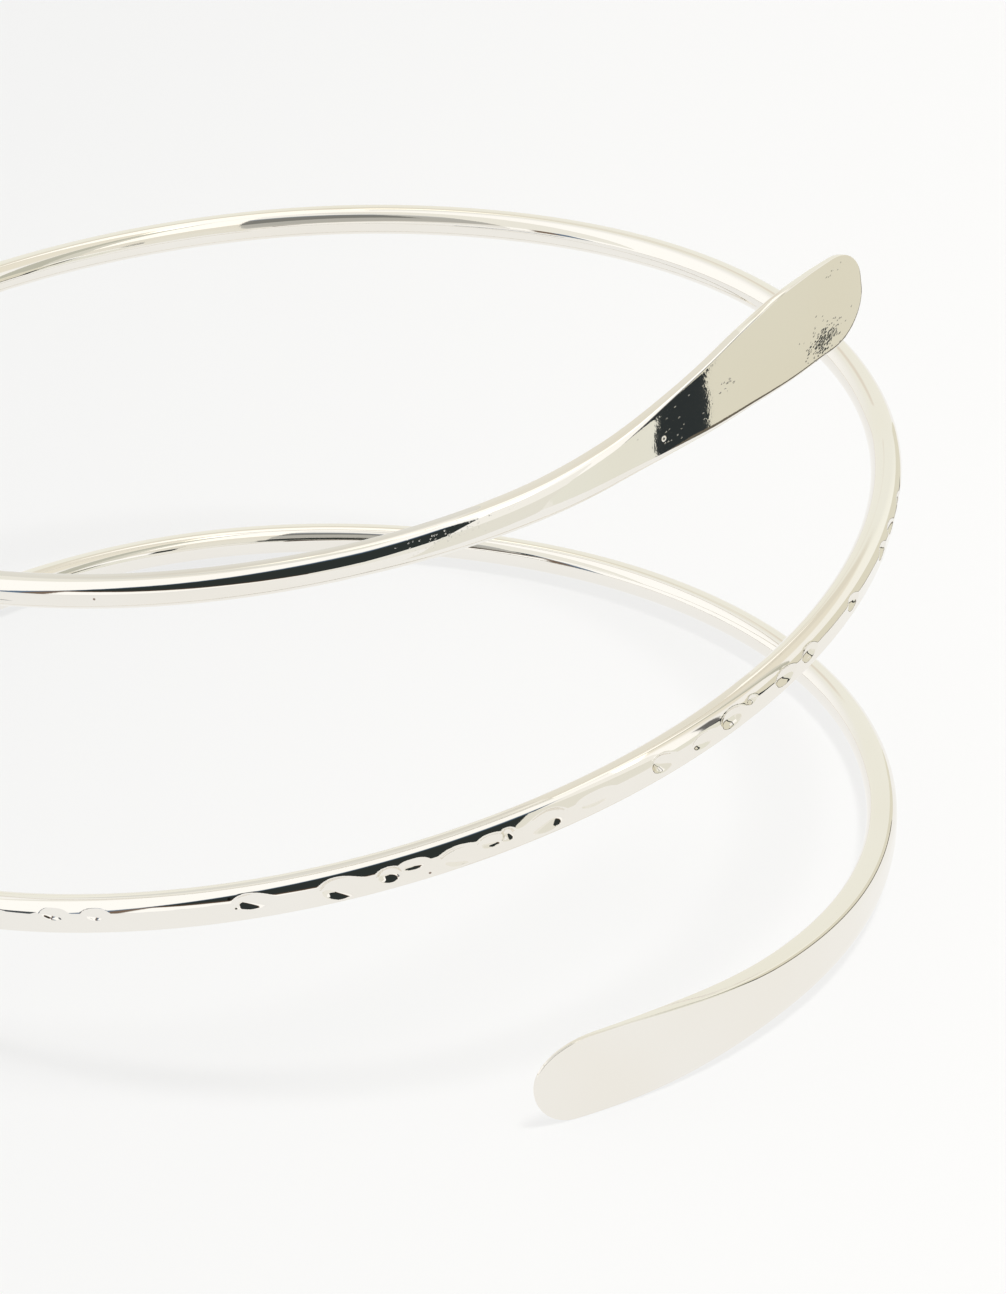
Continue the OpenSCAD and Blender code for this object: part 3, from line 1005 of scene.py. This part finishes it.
def side_cards():
    """Cards at the right of the top paddle: for its pale neck, its black band and its cream
    face, and a low dark one, a painted shadow, for the fine line along its lower edge."""
    for name, start, end, colour in SIDE_CARDS:
        for part, low, high in zip(("_foot", "", "_over"), SIDE_BENDS, SIDE_BENDS[1:]):
            card(name + part, [(SIDE, start + low[1], low[0]), (SIDE, end + low[1], low[0]),
                               (SIDE, end + high[1], high[0]),
                               (SIDE, start + high[1], high[0])], colour)
    # Painted shadow: a low dark card that the paddle's lower edge mirrors as a fine dark line
    start, end = FOOT_SHADOW_CARD_Y
    foot, top = FOOT_SHADOW_CARD_Z
    card("foot_shadow_card", [(FOOT_SHADOW_CARD_AT, start, foot), (FOOT_SHADOW_CARD_AT, end, foot),
                       (FOOT_SHADOW_CARD_AT, end, top), (FOOT_SHADOW_CARD_AT, start, top)], FOOT_SHADOW_CARD_TONE)


def upright_card(name, y, left, right, foot, top, colour, cover=1.0):
    """An upright card that faces the front, for what the coil mirrors close by."""
    card(name, [(left, y, foot), (right, y, foot), (right, y, top), (left, y, top)],
         colour, cover)


def near_cards():
    """Cards inside the coil for its back, in front of the hammered stretch where its dark
    line ends, at the front left for the middle turn's fine line, and over the back for its
    highlight."""
    for name, *box, colour, cover in INSIDE_CARDS:
        upright_card(name, INSIDE, *box, colour, cover)
    upright_card("front_card", BEFORE, *FRONT_CARD, FRONT_TONE)
    low_left, top_left = FRONT_OVER_LEFT
    _, right, _, top = FRONT_CARD
    card("front_card_over", [(low_left, BEFORE, top), (right, BEFORE, top),
                             (right, BEFORE, FRONT_OVER_TOP),
                             (top_left, BEFORE, FRONT_OVER_TOP)], FRONT_OVER_TONE)
    upright_card("left_strip", BEFORE, *LEFT_STRIP, STRIP_TONE)
    left, right, front, back, height = OVER_CARD
    card("over_card", [(left, front, height), (right, front, height), (right, back, height),
                       (left, back, height)], HIGHLIGHT_TONE)


def photo_camera():
    """The camera, at the photograph's angle."""
    forward = Vector((
        math.sin(CAMERA_YAW) * math.cos(CAMERA_PITCH),
        math.cos(CAMERA_YAW) * math.cos(CAMERA_PITCH),
        -math.sin(CAMERA_PITCH)))
    level_right = Vector((math.cos(CAMERA_YAW), -math.sin(CAMERA_YAW), 0))
    level_up = level_right.cross(forward)
    right = math.cos(CAMERA_ROLL) * level_right + math.sin(CAMERA_ROLL) * level_up
    up = right.cross(forward)
    data = bpy.data.cameras.new("photo_camera")
    data.lens = CAMERA_LENS
    data.sensor_width = 36
    data.clip_start = 0.01
    data.clip_end = 20
    camera = bpy.data.objects.new("photo_camera", data)
    bpy.context.scene.collection.objects.link(camera)
    turned = Matrix((right, up, -forward)).transposed().to_4x4()
    camera.matrix_world = Matrix.Translation(CAMERA_AT) @ turned
    bpy.context.scene.camera = camera


photo_camera()
pale_floor()
studio_world()
soft_light("overhead_light", towards=(0.26, -0.07, 1), distance=1.2, size=0.3, power=1.5)
soft_light("front_light", towards=(0.1, -0.5, 1), distance=1.2, size=1.0, power=0.8)
side_cards()
near_cards()

groups = {"plating": plating_group(), "pits": pits_group(), "crater": crater_group()}
finishes = {maker.__name__: maker(groups)
            for maker in (polished_wire, beaten_paddle, hammered_face)}
cuff = wound_wire(finishes)
# Bright metal throws back what it takes, so the floor's even light is not kept from the floor
cuff.visible_diffuse = False
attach(cuff, "root")
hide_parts("arm_coil")

bpy.context.scene.view_settings.view_transform = "Standard"
